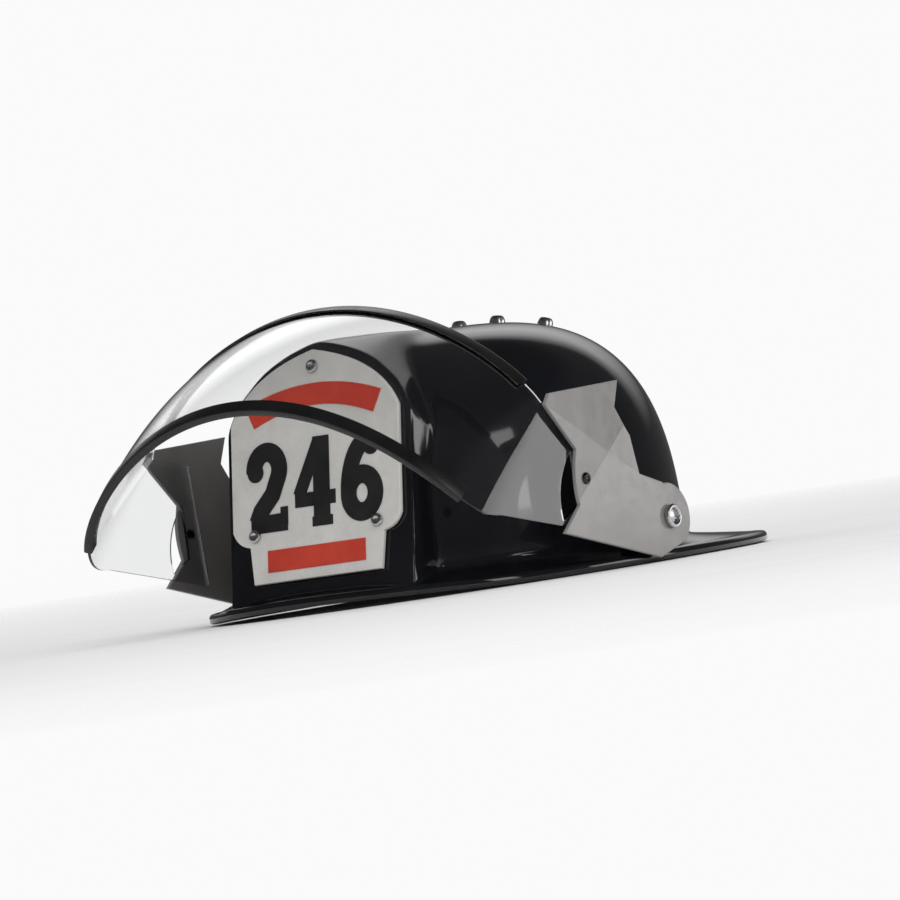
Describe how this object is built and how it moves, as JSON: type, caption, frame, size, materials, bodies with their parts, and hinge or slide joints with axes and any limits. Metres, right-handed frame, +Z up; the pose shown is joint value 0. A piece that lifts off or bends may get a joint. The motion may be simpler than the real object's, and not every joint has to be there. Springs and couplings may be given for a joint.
{
  "type": "firefighter helmet",
  "caption": "Child-size fire helmet with a domed black shell, long rear brim, front shield, flip-up clear visor on side arms, and an adjustable headband inside.",
  "frame": {"origin": "on the surface that the brim rests on, under the middle of the overall box", "axes": "+X to the wearer's left, -Y to the front where the shield is, +Z up through the crown"},
  "size_m": [0.194, 0.292, 0.1143],
  "materials": {
    "shell_plastic": "glossy moulded black",
    "satin_plastic": "satin black",
    "shield_white": "satin off-white",
    "shield_red": "printed red",
    "visor_clear": "clear, polished",
    "arm_grey": "light grey, smooth",
    "rivet_metal": "nickel plated",
    "headband_plastic": "matt black",
    "brow_foam": "fabric-faced foam",
    "strap_webbing": "woven webbing"
  },
  "bodies": {
    "helmet": {"shell": "shell_plastic", "front_shield": "shield_white", "shield_band_upper": "shield_red", "shield_band_lower": "shield_red", "shield_rivet_1": "rivet_metal", "shield_rivet_2": "rivet_metal", "shield_rivet_3": "rivet_metal", "crown_rivet_1": "rivet_metal", "crown_rivet_2": "rivet_metal", "crown_rivet_3": "rivet_metal", "crown_rivet_4": "rivet_metal", "pivot_rivet_left": "rivet_metal", "pivot_rivet_right": "rivet_metal", "pivot_spacer_left": "satin_plastic", "pivot_spacer_right": "satin_plastic", "pivot_washer_left": "rivet_metal", "pivot_washer_right": "rivet_metal", "headband": "headband_plastic", "brow_pad": "brow_foam", "crown_strap_lengthwise": "strap_webbing", "crown_strap_crosswise": "strap_webbing", "hanger_front_left": "headband_plastic", "hanger_front_right": "headband_plastic", "hanger_rear_left": "headband_plastic", "hanger_rear_right": "headband_plastic"},
    "visor": {"visor_sheet": "visor_clear", "visor_front_trim": "satin_plastic", "visor_top_trim": "satin_plastic", "visor_arm_left": "arm_grey", "visor_arm_right": "arm_grey", "arm_rivet_left": "satin_plastic", "arm_rivet_right": "satin_plastic"},
    "size_strap": {"size_strap": "headband_plastic"}
  },
  "joints": [
    {"name": "visor_hinge", "type": "hinge", "parent": "helmet", "child": "visor", "pos_m": [0, 0, 0.016], "axis": [1, 0, 0], "range_deg": [-25, 62]},
    {"name": "size_strap_travel", "type": "hinge", "parent": "helmet", "child": "size_strap", "pos_m": [0, 0.0087, 0.015], "axis": [0, 0, 1], "range_deg": [-10, 10]}
  ]
}
